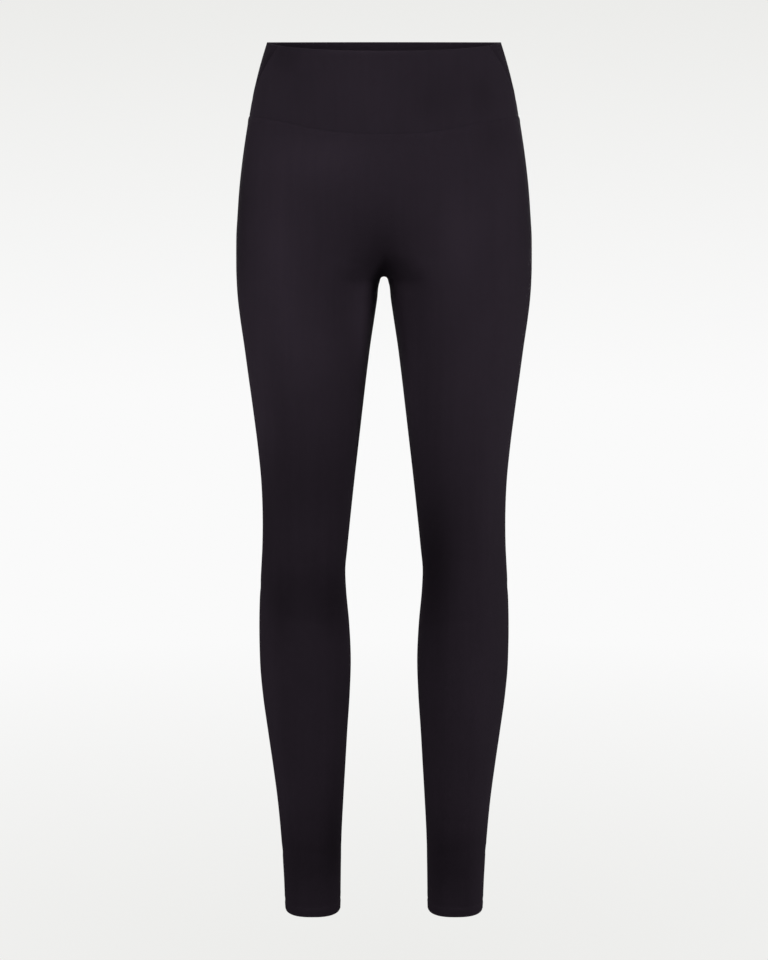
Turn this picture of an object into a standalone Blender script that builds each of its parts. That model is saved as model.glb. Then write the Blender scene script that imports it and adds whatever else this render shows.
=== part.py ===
"""High-waisted full-length leggings, filled out on a general figure.

Units are metres. X runs across the garment, -Y is its front and +Z is up. The origin is the
centre of the waist opening, level with the back waistband's top edge. Left and right are the
wearer's, so the left leg is at +X.

The outer face of the cloth is a pair of mirrored tubes, one for each leg. Below the crotch each
tube's section is a closed ring. Above it the two tubes run into each other, and each is cut off
at the mid-plane. Every sewn piece is a patch of that surface, given its thickness by moving the
patch's points in along the surface's normals.
"""
import math
from collections import namedtuple

import bpy
import numpy as np

# ---- Driving sizes --------------------------------------------------------------------------
LENGTH = 0.968            # waistband's top edge to the hem
BAND_HEIGHT = 0.080       # waistband at the sides and the back
BAND_SEAM_DIP = 0.017     # how much lower its bottom seam runs at the centre front
BAND_SEAM_DIP_POWER = 4   # the higher, the narrower that dip
RIM_DIP = 0.009           # how much lower its top edge runs at the centre front
RIM_DIP_POWER = 1.3
SIDE, CENTRE_BACK, FULL_TURN = 1, 2, 4    # places round the waist, from 0 at the centre front
SLANT_TOP = 0.68          # place of the slanted band seam at the top edge
SLANT_FOOT = 17 / 16      # and at the bottom seam, just past the side
CROTCH_ROUND = 0.006      # radius that rounds the fork between the two legs
HEM_TURN = 0.0105         # height of the turned-up hem
HEM_LIFT = 0.007          # how much higher the hem is at the back of the ankle
HEM_LIFT_START = 0.860    # distance below the waist where the rings start to tilt for that

JERSEY = 0.0012           # one layer of the cloth
BAND = 2 * JERSEY         # the waistband is two layers
SEAM_GAP = 0.0003         # pieces are this far apart at a seam
FOLD_ROUND = 0.0007       # height of the rounding on a folded edge
FOLD_TUCK = 0.3           # share of the thickness that the rounding takes off each face
HEM_STEP = 0.0006         # height over which the hem's second layer begins

# ---- Mesh fineness --------------------------------------------------------------------------
COLUMNS = 16              # across one half of a leg or of the seat
FRONT_BAND_COLUMNS = round(2 * SLANT_FOOT * COLUMNS)    # in step with the panels below
BACK_BAND_COLUMNS = FULL_TURN * COLUMNS - FRONT_BAND_COLUMNS
BAND_ROWS = 6
LEG_ROW = 0.0266          # height of a row down the leg
ROW_FAN = 3               # the higher, the sooner a row leaves the height of its centre
STEEPEST = 2.5            # limits a curve's slope to this many times its neighbours'
NUDGE = 1e-5              # step for the slope of the surface
WELD_DIGITS = 7           # points that agree to this many decimals are one point
EDGE_ORDER = np.array([0.2, 0.3, 1.0])    # fixes which way the faces of a cut edge are split
SHARP_EDGE = math.radians(40)

# ---- Finish ---------------------------------------------------------------------------------
JERSEY_COLOUR = (0.017, 0.013, 0.018)
BAND_COLOUR = (0.016, 0.012, 0.017)
CLOTH_ROUGHNESS = 0.8

# Sections of the garment's left side, from the waist to the hem. outer is the half-width. inner
# is the inseam: above the crotch it lies past the mid-plane, where the tube is cut off, and has
# its own value for the front and the back. front and back are the foremost and rearmost y, and
# crest_front and crest_back the x where each is reached. middle is the y of the side and the
# inseam, and square is the section's superellipse exponent.
Level = namedtuple(
    "Level", "z outer inner_front inner_back crest_front crest_back front back middle square")
LEVELS = (
    Level(0.000, 0.1270, -0.1270, -0.1270, 0.0000, 0.0000, -0.0920, 0.0920, 0.0000, 2.15),
    Level(-0.020, 0.1332, -0.1332, -0.1332, 0.0000, 0.0000, -0.0948, 0.0945, 0.0010, 2.20),
    Level(-0.045, 0.1398, -0.1398, -0.1398, 0.0000, 0.0030, -0.0985, 0.0990, 0.0030, 2.25),
    Level(-0.080, 0.1468, -0.1468, -0.1300, 0.0020, 0.0100, -0.1030, 0.1090, 0.0060, 2.35),
    Level(-0.120, 0.1533, -0.1533, -0.1020, 0.0070, 0.0260, -0.1048, 0.1205, 0.0090, 2.45),
    Level(-0.160, 0.1581, -0.1581, -0.0740, 0.0180, 0.0440, -0.1034, 0.1275, 0.0110, 2.45),
    Level(-0.190, 0.1603, -0.1560, -0.0520, 0.0310, 0.0550, -0.1008, 0.1285, 0.0110, 2.40),
    Level(-0.210, 0.1615, -0.0764, -0.0364, 0.0420, 0.0610, -0.0986, 0.1260, 0.0100, 2.38),
    Level(-0.225, 0.1617, -0.0378, -0.0193, 0.0510, 0.0650, -0.0969, 0.1222, 0.0090, 2.35),
    Level(-0.240, 0.1617, -0.0111, -0.0059, 0.0595, 0.0690, -0.0952, 0.1170, 0.0075, 2.32),
    Level(-0.250, 0.1616, 0.0014, 0.0012, 0.0645, 0.0713, -0.0941, 0.1130, 0.0062, 2.30),
    Level(-0.2548, 0.1614, 0.0060, 0.0060, 0.0668, 0.0723, -0.0936, 0.1110, 0.0056, 2.29),
    Level(-0.262, 0.1611, 0.0080, 0.0080, 0.0700, 0.0740, -0.0928, 0.1080, 0.0047, 2.28),
    Level(-0.280, 0.1598, 0.0098, 0.0098, 0.0765, 0.0778, -0.0912, 0.1013, 0.0028, 2.25),
    Level(-0.300, 0.1574, 0.0123, 0.0123, 0.0815, 0.0812, -0.0895, 0.0953, 0.0012, 2.22),
    Level(-0.330, 0.1531, 0.0164, 0.0164, 0.0845, 0.0842, -0.0868, 0.0893, 0.0000, 2.18),
    Level(-0.360, 0.1491, 0.0200, 0.0200, 0.0846, 0.0846, -0.0838, 0.0846, -0.0004, 2.15),
    Level(-0.400, 0.1437, 0.0245, 0.0245, 0.0841, 0.0841, -0.0794, 0.0782, -0.0010, 2.12),
    Level(-0.440, 0.1387, 0.0290, 0.0290, 0.0839, 0.0839, -0.0747, 0.0714, -0.0020, 2.10),
    Level(-0.480, 0.1349, 0.0335, 0.0335, 0.0842, 0.0842, -0.0704, 0.0642, -0.0033, 2.10),
    Level(-0.520, 0.1335, 0.0377, 0.0377, 0.0856, 0.0856, -0.0668, 0.0573, -0.0048, 2.12),
    Level(-0.550, 0.1339, 0.0407, 0.0407, 0.0873, 0.0873, -0.0647, 0.0530, -0.0056, 2.15),
    Level(-0.580, 0.1355, 0.0433, 0.0433, 0.0893, 0.0893, -0.0628, 0.0509, -0.0056, 2.16),
    Level(-0.600, 0.1366, 0.0425, 0.0425, 0.0896, 0.0896, -0.0611, 0.0520, -0.0044, 2.15),
    Level(-0.640, 0.1378, 0.0391, 0.0391, 0.0885, 0.0885, -0.0566, 0.0580, 0.0000, 2.12),
    Level(-0.680, 0.1374, 0.0375, 0.0375, 0.0875, 0.0875, -0.0510, 0.0640, 0.0050, 2.10),
    Level(-0.720, 0.1344, 0.0388, 0.0388, 0.0866, 0.0866, -0.0446, 0.0655, 0.0090, 2.10),
    Level(-0.760, 0.1292, 0.0414, 0.0414, 0.0853, 0.0853, -0.0376, 0.0627, 0.0120, 2.12),
    Level(-0.800, 0.1237, 0.0437, 0.0437, 0.0838, 0.0838, -0.0309, 0.0583, 0.0142, 2.15),
    Level(-0.840, 0.1187, 0.0460, 0.0460, 0.0824, 0.0824, -0.0250, 0.0550, 0.0161, 2.20),
    Level(-0.880, 0.1151, 0.0480, 0.0480, 0.0815, 0.0815, -0.0203, 0.0540, 0.0178, 2.30),
    Level(-0.920, 0.1125, 0.0489, 0.0489, 0.0807, 0.0807, -0.0170, 0.0545, 0.0193, 2.40),
    Level(-0.968, 0.1105, 0.0495, 0.0495, 0.0800, 0.0800, -0.0150, 0.0560, 0.0205, 2.50),
)

# Rows of points from the waist seam to the thigh. Each row starts at the centre front or back,
# or on the inseam, and runs to the side. Round the crotch the rows fan out and down.
SeatRow = namedtuple("SeatRow", "side centre_front centre_back")
SEAT_ROWS = (
    SeatRow(-BAND_HEIGHT, -BAND_HEIGHT - BAND_SEAM_DIP, -BAND_HEIGHT),
    SeatRow(-0.103, -0.117, -0.103),
    SeatRow(-0.127, -0.139, -0.127),
    SeatRow(-0.152, -0.161, -0.151),
    SeatRow(-0.176, -0.181, -0.174),
    SeatRow(-0.199, -0.199, -0.194),
    SeatRow(-0.220, -0.2145, -0.211),
    SeatRow(-0.239, -0.2285, -0.2255),
    SeatRow(-0.256, -0.2395, -0.2375),
    SeatRow(-0.271, -0.2475, -0.2465),
    SeatRow(-0.285, -0.2525, -0.2520),
    SeatRow(-0.298, -0.2548, -0.2548),
    SeatRow(-0.311, -0.2585, -0.2585),
    SeatRow(-0.325, -0.269, -0.269),
    SeatRow(-0.341, -0.287, -0.287),
    SeatRow(-0.359, -0.312, -0.312),
    SeatRow(-0.379, -0.343, -0.343),
    SeatRow(-0.401, -0.378, -0.378),
    SeatRow(-0.425, -0.414, -0.414),
)
CROTCH_ROW = 11           # the row that starts at the lowest point of the crotch
FRONT, BACK = "front", "back"


# ---- The cloth's outer surface --------------------------------------------------------------
def column_curve(name):
    """A smooth curve through one column of LEVELS, as a function of the height z."""
    depth = np.array([-level.z for level in LEVELS])
    value = np.array([getattr(level, name) for level in LEVELS])
    step = np.diff(depth)
    rise = np.diff(value) / step
    slope = np.empty(len(value))
    slope[0], slope[-1] = rise[0], rise[-1]
    slope[1:-1] = (rise[:-1] * step[1:] + rise[1:] * step[:-1]) / (step[:-1] + step[1:])
    most = STEEPEST * np.minimum(abs(rise[:-1]), abs(rise[1:]))
    monotone = rise[:-1] * rise[1:] > 0
    slope[1:-1] = np.where(monotone, np.clip(slope[1:-1], -most, most), slope[1:-1])

    def curve(z):
        t = np.clip(-z, depth[0], depth[-1])
        k = np.clip(np.searchsorted(depth, t, side="right") - 1, 0, len(step) - 1)
        s = (t - depth[k]) / step[k]
        keep, turn = s * s * (3 - 2 * s), s * (1 - s)
        return (value[k] * (1 - keep) + value[k + 1] * keep
                + step[k] * turn * (slope[k] * (1 - s) - slope[k + 1] * s))

    return curve


CURVES = {name: column_curve(name) for name in Level._fields[1:]}


def half_section(half, z):
    """Crest x, reach in from it and out from it, middle y, signed depth and exponent at z."""
    crest, middle = CURVES["crest_" + half](z), CURVES["middle"](z)
    reach_in, reach_out = crest - CURVES["inner_" + half](z), CURVES["outer"](z) - crest
    return crest, reach_in, reach_out, middle, CURVES[half](z) - middle, CURVES["square"](z)


def row_start(half, z):
    """Angle on the half section at z where it leaves the mid-plane: 0 below the crotch."""
    crest, reach_in, reach_out, *_ = half_section(half, z)
    lean = (crest - CROTCH_ROUND) / (reach_in if crest > CROTCH_ROUND else reach_out)
    square = CURVES["square"](z)
    return math.acos(math.copysign(min(abs(lean), 1) ** (square / 2), lean))


def surface_point(half, angle, z):
    """Point of the left side at a height and an angle: 0 inseam, pi/2 crest and pi side."""
    crest, reach_in, reach_out, middle, depth, square = half_section(half, z)
    lean = math.cos(angle)
    across = crest - (reach_in if lean > 0 else -reach_out) * abs(lean) ** (2 / square)
    x = math.sqrt(max(across ** 2 - CROTCH_ROUND ** 2, 0))
    return np.array([x, middle + depth * max(math.sin(angle), 0) ** (2 / square), z])


def swelling(half, point):
    """Under 1 inside the garment, 1 on its surface and over 1 outside."""
    crest, reach_in, reach_out, middle, depth, square = half_section(half, point[2])
    across = math.hypot(point[0], CROTCH_ROUND) - crest
    across /= reach_out if across > 0 else reach_in
    return abs(across) ** square + abs((point[1] - middle) / depth) ** square


def outward(half, point):
    """Unit normal of the surface, from the slope of swelling."""
    steps = NUDGE * np.eye(3)
    slope = np.array([swelling(half, point + s) - swelling(half, point - s) for s in steps])
    return slope / np.linalg.norm(slope)


# ---- Walls of cloth -------------------------------------------------------------------------
def towards(points, neighbours):
    """Points moved towards their neighbours by half of the gap at a seam."""
    way = neighbours - points
    return points + way / np.linalg.norm(way, axis=-1, keepdims=True) * SEAM_GAP / 2


def wall(halves, grid, tucks, depths):
    """Outer and inner point grids; each row has its own tuck of the outer face, and depth."""
    normals = np.array([[outward(half, point) for half, point in zip(*row)]
                        for row in zip(halves, grid)])
    tucks, depths = (np.reshape(v, (-1, 1, 1)) for v in (tucks, depths))
    return grid - normals * tucks, grid - normals * depths


def mirrored(patch):
    """The patch on the garment's other side, with its columns turned round."""
    return tuple(grid[:, ::-1] * (-1, 1, 1) for grid in patch)


def edge_faces(a, b, points):
    """The two triangles that close a wall between its outer points a and b.

    Inner points are numbered on from the outer ones. The diagonal leaves the outer point that
    is further along EDGE_ORDER, so the facing edges of two pieces are split alike.
    """
    inner_a, inner_b = a + len(points), b + len(points)
    if np.dot(points[a] - points[b], EDGE_ORDER) > 0:
        return [(b, a, inner_b), (a, inner_a, inner_b)]
    return [(b, a, inner_a), (b, inner_a, inner_b)]


def sewn_piece(name, patches, material):
    """One closed solid from patches of cloth, joined where their points meet."""
    numbers, outside, inside, quads = {}, [], [], []
    for outer, inner in patches:
        index = np.empty(outer.shape[:2], dtype=int)
        for place in np.ndindex(index.shape):
            key = tuple(np.round(outer[place], WELD_DIGITS) + 0.0)
            if key not in numbers:
                numbers[key] = len(outside)
                outside.append(outer[place])
                inside.append(inner[place])
            index[place] = numbers[key]
        quads += [(index[k, j], index[k + 1, j], index[k + 1, j + 1], index[k, j + 1])
                  for k, j in np.ndindex(index.shape[0] - 1, index.shape[1] - 1)]
    count = len(outside)
    sides = {(quad[i - 1], quad[i]) for quad in quads for i in range(4)}
    faces = quads + [tuple(count + v for v in reversed(quad)) for quad in quads]
    for a, b in sorted(sides):
        if (b, a) not in sides:
            faces += edge_faces(a, b, outside)
    mesh = bpy.data.meshes.new(name)
    mesh.from_pydata(outside + inside, [], [tuple(map(int, face)) for face in faces])
    mesh.materials.append(material)
    mesh.shade_smooth()
    mesh.set_sharp_from_angle(angle=SHARP_EDGE)
    piece = bpy.data.objects.new(name, mesh)
    bpy.context.scene.collection.objects.link(piece)
    return piece


# ---- Edges of the waistband -----------------------------------------------------------------
def side_fade(turn):
    """1 at the centre front, falling to 0 at the sides and staying there round the back."""
    return math.cos(min(abs(turn), SIDE) * math.pi / 2)


def band_bottom(turn):
    """Height of the waistband's bottom seam at a place round the waist."""
    return -BAND_HEIGHT - BAND_SEAM_DIP * side_fade(turn) ** BAND_SEAM_DIP_POWER


def band_top(turn):
    """Height of the waistband's top edge at a place round the waist."""
    return -RIM_DIP * side_fade(turn) ** RIM_DIP_POWER


# ---- Seat and legs --------------------------------------------------------------------------
def leg_rows():
    """Heights, outer tucks and wall depths of the rows from the waist seam to the hem."""
    hem_top = -LENGTH + HEM_TURN
    count = round((SEAT_ROWS[-1].side - hem_top) / LEG_ROW)
    down = [SeatRow(z, z, z) for z in np.linspace(SEAT_ROWS[-1].side, hem_top, count + 1)[1:]]
    hem = [SeatRow(z, z, z) for z in (hem_top - HEM_STEP, -LENGTH + FOLD_ROUND, -LENGTH)]
    rows = list(SEAT_ROWS) + down + hem
    tucks = [0.0] * (len(rows) - 1) + [2 * JERSEY * FOLD_TUCK]
    depths = [JERSEY] * (len(rows) - 3) + [2 * JERSEY] * 2 + [2 * JERSEY * (1 - FOLD_TUCK)]
    return rows, tucks, depths


def hem_tilt(half, angle, z):
    """How much a leg's ring is lifted at this angle, so that the hem tilts."""
    front, back = CURVES[FRONT](z), CURVES[BACK](z)
    rearward = (surface_point(half, angle, z)[1] - front) / (back - front)
    started = np.clip((-z - HEM_LIFT_START) / (LENGTH - HEM_LIFT_START), 0, 1)
    return HEM_LIFT * rearward * started


def leg_panel(half):
    """Patch of the left side's front or back, from the waist seam to the hem."""
    rows, tucks, depths = leg_rows()
    grid = np.empty((len(rows), COLUMNS + 1, 3))
    for k, row in enumerate(rows):
        centre = row.centre_front if half == FRONT else row.centre_back
        start = row_start(half, centre)
        for j in range(COLUMNS + 1):
            share = j / COLUMNS
            angle = start + (math.pi - start) * share
            z = row.side + (centre - row.side) * (1 - share) ** ROW_FAN
            if k == 0:
                z = band_bottom(share if half == FRONT else CENTRE_BACK - share)
            grid[k, j] = surface_point(half, angle, z + hem_tilt(half, angle, z))
    grid[0] = towards(grid[0], grid[1])
    grid[:, -1] = towards(grid[:, -1], grid[:, -2])
    inseam = slice(CROTCH_ROW + 1, None)
    grid[inseam, 0] = towards(grid[inseam, 0], grid[inseam, 1])
    grid[CROTCH_ROW, 0] = towards(grid[CROTCH_ROW, 0], grid[CROTCH_ROW - 1, 0])
    if half == BACK:
        grid[:CROTCH_ROW + 1, 0, 0] = SEAM_GAP / 2
    halves = [[half] * (COLUMNS + 1)] * len(rows)
    outer, inner = wall(halves, grid, tucks, depths)
    if half == BACK:
        return outer[:, ::-1], inner[:, ::-1]
    return outer, inner


# ---- Waistband ------------------------------------------------------------------------------
def slant(height):
    """Place of the slanted seam round the waist, at a share of the band's height."""
    return SLANT_FOOT + (SLANT_TOP - SLANT_FOOT) * height


def band_point(turn, height):
    """Half and point of the waistband at a place round the waist and a share of its height."""
    if turn > CENTRE_BACK:
        turn -= FULL_TURN
    half, share = (FRONT, abs(turn)) if abs(turn) <= SIDE else (BACK, CENTRE_BACK - abs(turn))
    z, centre = (band_bottom(at) + (band_top(at) - band_bottom(at)) * height
                 for at in (turn, 0 if half == FRONT else CENTRE_BACK))
    start = row_start(half, centre)
    point = surface_point(half, start + (math.pi - start) * share, z)
    return half, point * (math.copysign(1, turn), 1, 1)


def band_panel(turns_at, columns):
    """Patch of the waistband; turns_at gives its two ends at a share of the band's height."""
    heights = [1.0] + list(np.linspace(1 - FOLD_ROUND / BAND_HEIGHT, 0, BAND_ROWS + 1))
    places = [[band_point(turn, height) for turn in np.linspace(*turns_at(height), columns + 1)]
              for height in heights]
    halves = [[half for half, _ in row] for row in places]
    grid = np.array([[point for _, point in row] for row in places])
    grid[-1] = towards(grid[-1], grid[-2])
    grid[:, 0] = towards(grid[:, 0], grid[:, 1])
    grid[:, -1] = towards(grid[:, -1], grid[:, -2])
    tucks = [BAND * FOLD_TUCK] + [0.0] * (BAND_ROWS + 1)
    depths = [BAND * (1 - FOLD_TUCK)] + [BAND] * (BAND_ROWS + 1)
    return wall(halves, grid, tucks, depths)


def front_band_ends(height):
    """Where the front waistband starts and ends, at a share of its height."""
    return -slant(height), slant(height)


def back_band_ends(height):
    """Where the back waistband starts and ends, at a share of its height."""
    return slant(height), FULL_TURN - slant(height)


# ---- The garment ----------------------------------------------------------------------------
def jersey_material(name, colour):
    material = bpy.data.materials.new(name)
    material.use_nodes = True
    shader = material.node_tree.nodes["Principled BSDF"]
    shader.inputs["Base Color"].default_value = (*colour, 1)
    shader.inputs["Roughness"].default_value = CLOTH_ROUGHNESS
    shader.inputs["Metallic"].default_value = 0.0
    return material


def build_leggings():
    jersey = jersey_material("jersey", JERSEY_COLOUR)
    band_jersey = jersey_material("band_jersey", BAND_COLOUR)
    front, back = leg_panel(FRONT), leg_panel(BACK)
    front_band = band_panel(front_band_ends, FRONT_BAND_COLUMNS)
    back_band = band_panel(back_band_ends, BACK_BAND_COLUMNS)
    pieces = [
        sewn_piece("front", [front, mirrored(front)], jersey),
        sewn_piece("back_left", [back], jersey),
        sewn_piece("back_right", [mirrored(back)], jersey),
        sewn_piece("waistband_front", [front_band], band_jersey),
        sewn_piece("waistband_back", [back_band], band_jersey),
    ]
    garment = bpy.data.objects.new("leggings", None)
    bpy.context.scene.collection.objects.link(garment)
    for piece in pieces:
        piece.parent = garment


for thing in list(bpy.data.objects):
    bpy.data.objects.remove(thing, do_unlink=True)
build_leggings()
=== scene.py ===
"""Looks of the leggings: fine cloth shells, seams, stitches, fabric, studio and camera.

Metres, in the frame's axes: the wearer's left is +X, the garment's front faces -Y, and the
origin is the centre of the waist opening. Each shell stands for one solid of the frame and
follows the same surface, at a finer grid and with what the solids leave out: seams that sink
in, the ridges of their allowances, soft creases, rolled edges and the hem's stitches.
"""
import math
from collections import namedtuple

import bpy
import numpy as np
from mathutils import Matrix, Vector


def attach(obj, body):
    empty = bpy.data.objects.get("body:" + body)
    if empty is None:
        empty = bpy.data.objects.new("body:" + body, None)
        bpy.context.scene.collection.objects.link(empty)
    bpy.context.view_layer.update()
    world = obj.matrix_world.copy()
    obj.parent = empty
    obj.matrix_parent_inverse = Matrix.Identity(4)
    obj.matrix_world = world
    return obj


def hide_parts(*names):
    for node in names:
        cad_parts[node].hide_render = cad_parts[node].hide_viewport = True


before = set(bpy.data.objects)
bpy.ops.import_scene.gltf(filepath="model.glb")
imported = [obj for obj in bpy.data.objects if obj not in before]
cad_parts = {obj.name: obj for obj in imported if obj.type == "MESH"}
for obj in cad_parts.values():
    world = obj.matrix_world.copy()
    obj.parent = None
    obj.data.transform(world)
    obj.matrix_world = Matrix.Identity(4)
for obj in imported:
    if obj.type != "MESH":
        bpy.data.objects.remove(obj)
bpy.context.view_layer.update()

# ---- Sizes of the garment, as in the part's source --------------------------------------------
LENGTH = 0.968            # waistband's top edge to the hem
BAND_HEIGHT = 0.080       # waistband at the sides and the back
BAND_SEAM_DIP = 0.017     # how much lower its bottom seam runs at the centre front
BAND_SEAM_DIP_POWER = 4   # the higher, the narrower that dip
RIM_DIP = 0.009           # how much lower its top edge runs at the centre front
RIM_DIP_POWER = 1.3
SIDE, CENTRE_BACK, FULL_TURN = 1, 2, 4    # places round the waist, from 0 at the centre front
SLANT_TOP = 0.68          # place of the slanted band seam at the top edge
SLANT_FOOT = 17 / 16      # and at the bottom seam, just past the side
CROTCH_ROUND = 0.006      # radius that rounds the fork between the two legs
HEM_TURN = 0.0105         # height of the turned-up hem
HEM_LIFT = 0.007          # how much higher the hem is at the back of the ankle
HEM_LIFT_START = 0.860    # distance below the waist where the rings start to tilt for that
JERSEY = 0.0012           # one layer of the cloth
BAND = 2 * JERSEY
HEM = 2 * JERSEY
ROW_FAN = 3               # the higher, the sooner a row leaves the height of its centre
STEEPEST = 2.5            # limits a curve's slope to this many times its neighbours'
NUDGE = 1e-5              # step for the slope of the surface
FRONT, BACK = "front", "back"

# Sections of the left side, from the waist to the hem. outer is the half-width. inner is the
# inseam, which lies past the mid-plane above the crotch, where the tube is cut off. front and
# back are the foremost and rearmost y, and the crests the x where each is reached. middle is the
# y of the side and the inseam, and square is the section's superellipse exponent. outer, and inner
# below the crotch, follow widths that a program measured on the photo's outline.
Level = namedtuple(
    "Level", "z outer inner_front inner_back crest_front crest_back front back middle square")
LEVELS = (
    Level(0.000, 0.1270, -0.1270, -0.1270, 0.0000, 0.0000, -0.0920, 0.0920, 0.0000, 2.15),
    Level(-0.020, 0.1332, -0.1332, -0.1332, 0.0000, 0.0000, -0.0948, 0.0945, 0.0010, 2.20),
    Level(-0.045, 0.1398, -0.1398, -0.1398, 0.0000, 0.0030, -0.0985, 0.0990, 0.0030, 2.25),
    Level(-0.080, 0.1468, -0.1468, -0.1300, 0.0020, 0.0100, -0.1030, 0.1090, 0.0060, 2.35),
    Level(-0.120, 0.1533, -0.1533, -0.1020, 0.0070, 0.0260, -0.1048, 0.1205, 0.0090, 2.45),
    Level(-0.160, 0.1581, -0.1581, -0.0740, 0.0180, 0.0440, -0.1034, 0.1275, 0.0110, 2.45),
    Level(-0.190, 0.1603, -0.1560, -0.0520, 0.0310, 0.0550, -0.1008, 0.1285, 0.0110, 2.40),
    Level(-0.210, 0.1615, -0.0764, -0.0364, 0.0420, 0.0610, -0.0986, 0.1260, 0.0100, 2.38),
    Level(-0.225, 0.1617, -0.0378, -0.0193, 0.0510, 0.0650, -0.0969, 0.1222, 0.0090, 2.35),
    Level(-0.240, 0.1617, -0.0111, -0.0059, 0.0595, 0.0690, -0.0952, 0.1170, 0.0075, 2.32),
    Level(-0.250, 0.1616, 0.0014, 0.0012, 0.0645, 0.0713, -0.0941, 0.1130, 0.0062, 2.30),
    Level(-0.2548, 0.1614, 0.0060, 0.0060, 0.0668, 0.0723, -0.0936, 0.1110, 0.0056, 2.29),
    Level(-0.262, 0.1611, 0.0080, 0.0080, 0.0700, 0.0740, -0.0928, 0.1080, 0.0047, 2.28),
    Level(-0.280, 0.1598, 0.0098, 0.0098, 0.0765, 0.0778, -0.0912, 0.1013, 0.0028, 2.25),
    Level(-0.300, 0.1574, 0.0123, 0.0123, 0.0815, 0.0812, -0.0895, 0.0953, 0.0012, 2.22),
    Level(-0.330, 0.1531, 0.0164, 0.0164, 0.0845, 0.0842, -0.0868, 0.0893, 0.0000, 2.18),
    Level(-0.360, 0.1491, 0.0200, 0.0200, 0.0846, 0.0846, -0.0838, 0.0846, -0.0004, 2.15),
    Level(-0.400, 0.1437, 0.0245, 0.0245, 0.0841, 0.0841, -0.0794, 0.0782, -0.0010, 2.12),
    Level(-0.440, 0.1387, 0.0290, 0.0290, 0.0839, 0.0839, -0.0747, 0.0714, -0.0020, 2.10),
    Level(-0.480, 0.1349, 0.0335, 0.0335, 0.0842, 0.0842, -0.0704, 0.0642, -0.0033, 2.10),
    Level(-0.520, 0.1335, 0.0377, 0.0377, 0.0856, 0.0856, -0.0668, 0.0573, -0.0048, 2.12),
    Level(-0.550, 0.1339, 0.0407, 0.0407, 0.0873, 0.0873, -0.0647, 0.0530, -0.0056, 2.15),
    Level(-0.580, 0.1355, 0.0433, 0.0433, 0.0893, 0.0893, -0.0628, 0.0509, -0.0056, 2.16),
    Level(-0.600, 0.1366, 0.0425, 0.0425, 0.0896, 0.0896, -0.0611, 0.0520, -0.0044, 2.15),
    Level(-0.640, 0.1378, 0.0391, 0.0391, 0.0885, 0.0885, -0.0566, 0.0580, 0.0000, 2.12),
    Level(-0.680, 0.1374, 0.0375, 0.0375, 0.0875, 0.0875, -0.0510, 0.0640, 0.0050, 2.10),
    Level(-0.720, 0.1344, 0.0388, 0.0388, 0.0866, 0.0866, -0.0446, 0.0655, 0.0090, 2.10),
    Level(-0.760, 0.1292, 0.0414, 0.0414, 0.0853, 0.0853, -0.0376, 0.0627, 0.0120, 2.12),
    Level(-0.800, 0.1237, 0.0437, 0.0437, 0.0838, 0.0838, -0.0309, 0.0583, 0.0142, 2.15),
    Level(-0.840, 0.1187, 0.0460, 0.0460, 0.0824, 0.0824, -0.0250, 0.0550, 0.0161, 2.20),
    Level(-0.880, 0.1151, 0.0480, 0.0480, 0.0815, 0.0815, -0.0203, 0.0540, 0.0178, 2.30),
    Level(-0.920, 0.1125, 0.0489, 0.0489, 0.0807, 0.0807, -0.0170, 0.0545, 0.0193, 2.40),
    Level(-0.968, 0.1105, 0.0495, 0.0495, 0.0800, 0.0800, -0.0150, 0.0560, 0.0205, 2.50),
)

# Heights of rows from the waist seam to the thigh, which fan out and down round the crotch.
SeatRow = namedtuple("SeatRow", "side centre_front centre_back")
SEAT_ROWS = (
    SeatRow(-BAND_HEIGHT, -BAND_HEIGHT - BAND_SEAM_DIP, -BAND_HEIGHT),
    SeatRow(-0.103, -0.117, -0.103),
    SeatRow(-0.127, -0.139, -0.127),
    SeatRow(-0.152, -0.161, -0.151),
    SeatRow(-0.176, -0.181, -0.174),
    SeatRow(-0.199, -0.199, -0.194),
    SeatRow(-0.220, -0.2145, -0.211),
    SeatRow(-0.239, -0.2285, -0.2255),
    SeatRow(-0.256, -0.2395, -0.2375),
    SeatRow(-0.271, -0.2475, -0.2465),
    SeatRow(-0.285, -0.2525, -0.2520),
    SeatRow(-0.298, -0.2548, -0.2548),
    SeatRow(-0.311, -0.2585, -0.2585),
    SeatRow(-0.325, -0.269, -0.269),
    SeatRow(-0.341, -0.287, -0.287),
    SeatRow(-0.359, -0.312, -0.312),
    SeatRow(-0.379, -0.343, -0.343),
    SeatRow(-0.401, -0.378, -0.378),
    SeatRow(-0.425, -0.414, -0.414),
)
CROTCH_ROW = 11           # the row that starts at the lowest point of the crotch

# ---- Fineness of the shells ---------------------------------------------------------------------
COLUMNS = 56              # across one half of a leg or of the seat
SEAT_SPLIT = 5            # fine rows to a seat row
LEG_ROW = 0.0048          # height of a fine row down the leg
LEVELLING = 8             # rows are level again after one part in this many of the leg
BAND_ROWS = 30
BAND_COLUMNS_A_TURN = 56
CROWDING = 0.88           # how far columns crowd towards a seam, from 0 to 1
EDGE_STEPS = (0.0004, 0.0009, 0.0015, 0.0022, 0.0031, 0.0043, 0.0060, 0.0085)    # from a seam
HEM_STEPS = (0.001, 0.0025, 0.004, 0.0055, 0.007, 0.0085)    # from the hem's stitch line down
FOLD_STEPS = 5            # rows round one half of a folded edge
WELD_DIGITS = 7           # points that agree to this many decimals are one point
SHARP_EDGE = math.radians(50)

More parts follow.
